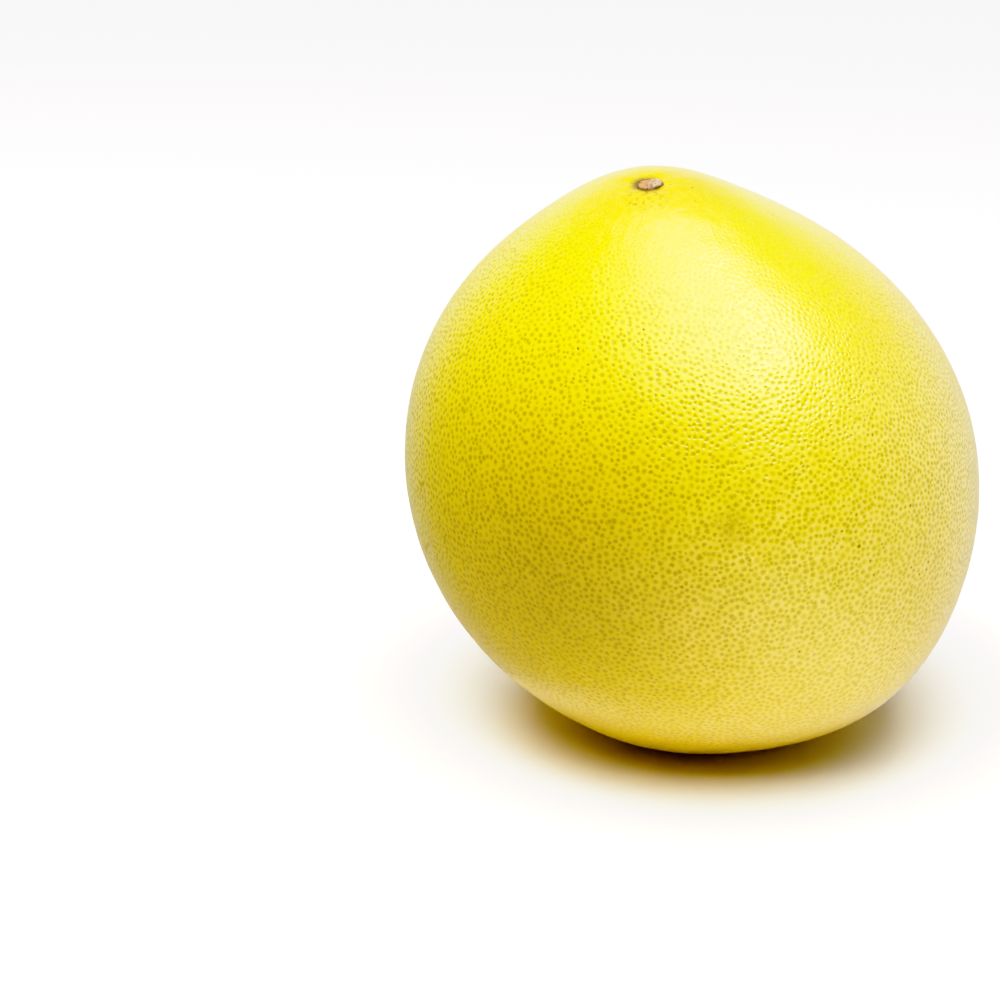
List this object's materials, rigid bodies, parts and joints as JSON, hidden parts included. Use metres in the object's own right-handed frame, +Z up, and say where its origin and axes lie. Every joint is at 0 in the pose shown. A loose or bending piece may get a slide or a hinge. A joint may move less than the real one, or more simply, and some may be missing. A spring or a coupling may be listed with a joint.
{
  "type": "pomelo",
  "caption": "Whole yellow pomelo with a blunt leaning neck, a small woody stem scar and a finely pitted waxy rind, resting on a small flat spot.",
  "frame": {"origin": "middle of the bounding box's underside, on the surface that the fruit rests on", "axes": "+Z up, -Y towards the viewer of the picture, +X to the viewer's right; the neck leans towards -X and -Y"},
  "size_m": [0.158, 0.1588, 0.1604],
  "materials": {
    "rind": "waxy satin citrus rind, lemon yellow with small darker oil glands",
    "stem_wood": "dry, rough, torn woody scar"
  },
  "bodies": {
    "root": {"pomelo": "rind", "stem_button": "stem_wood"}
  },
  "joints": []
}
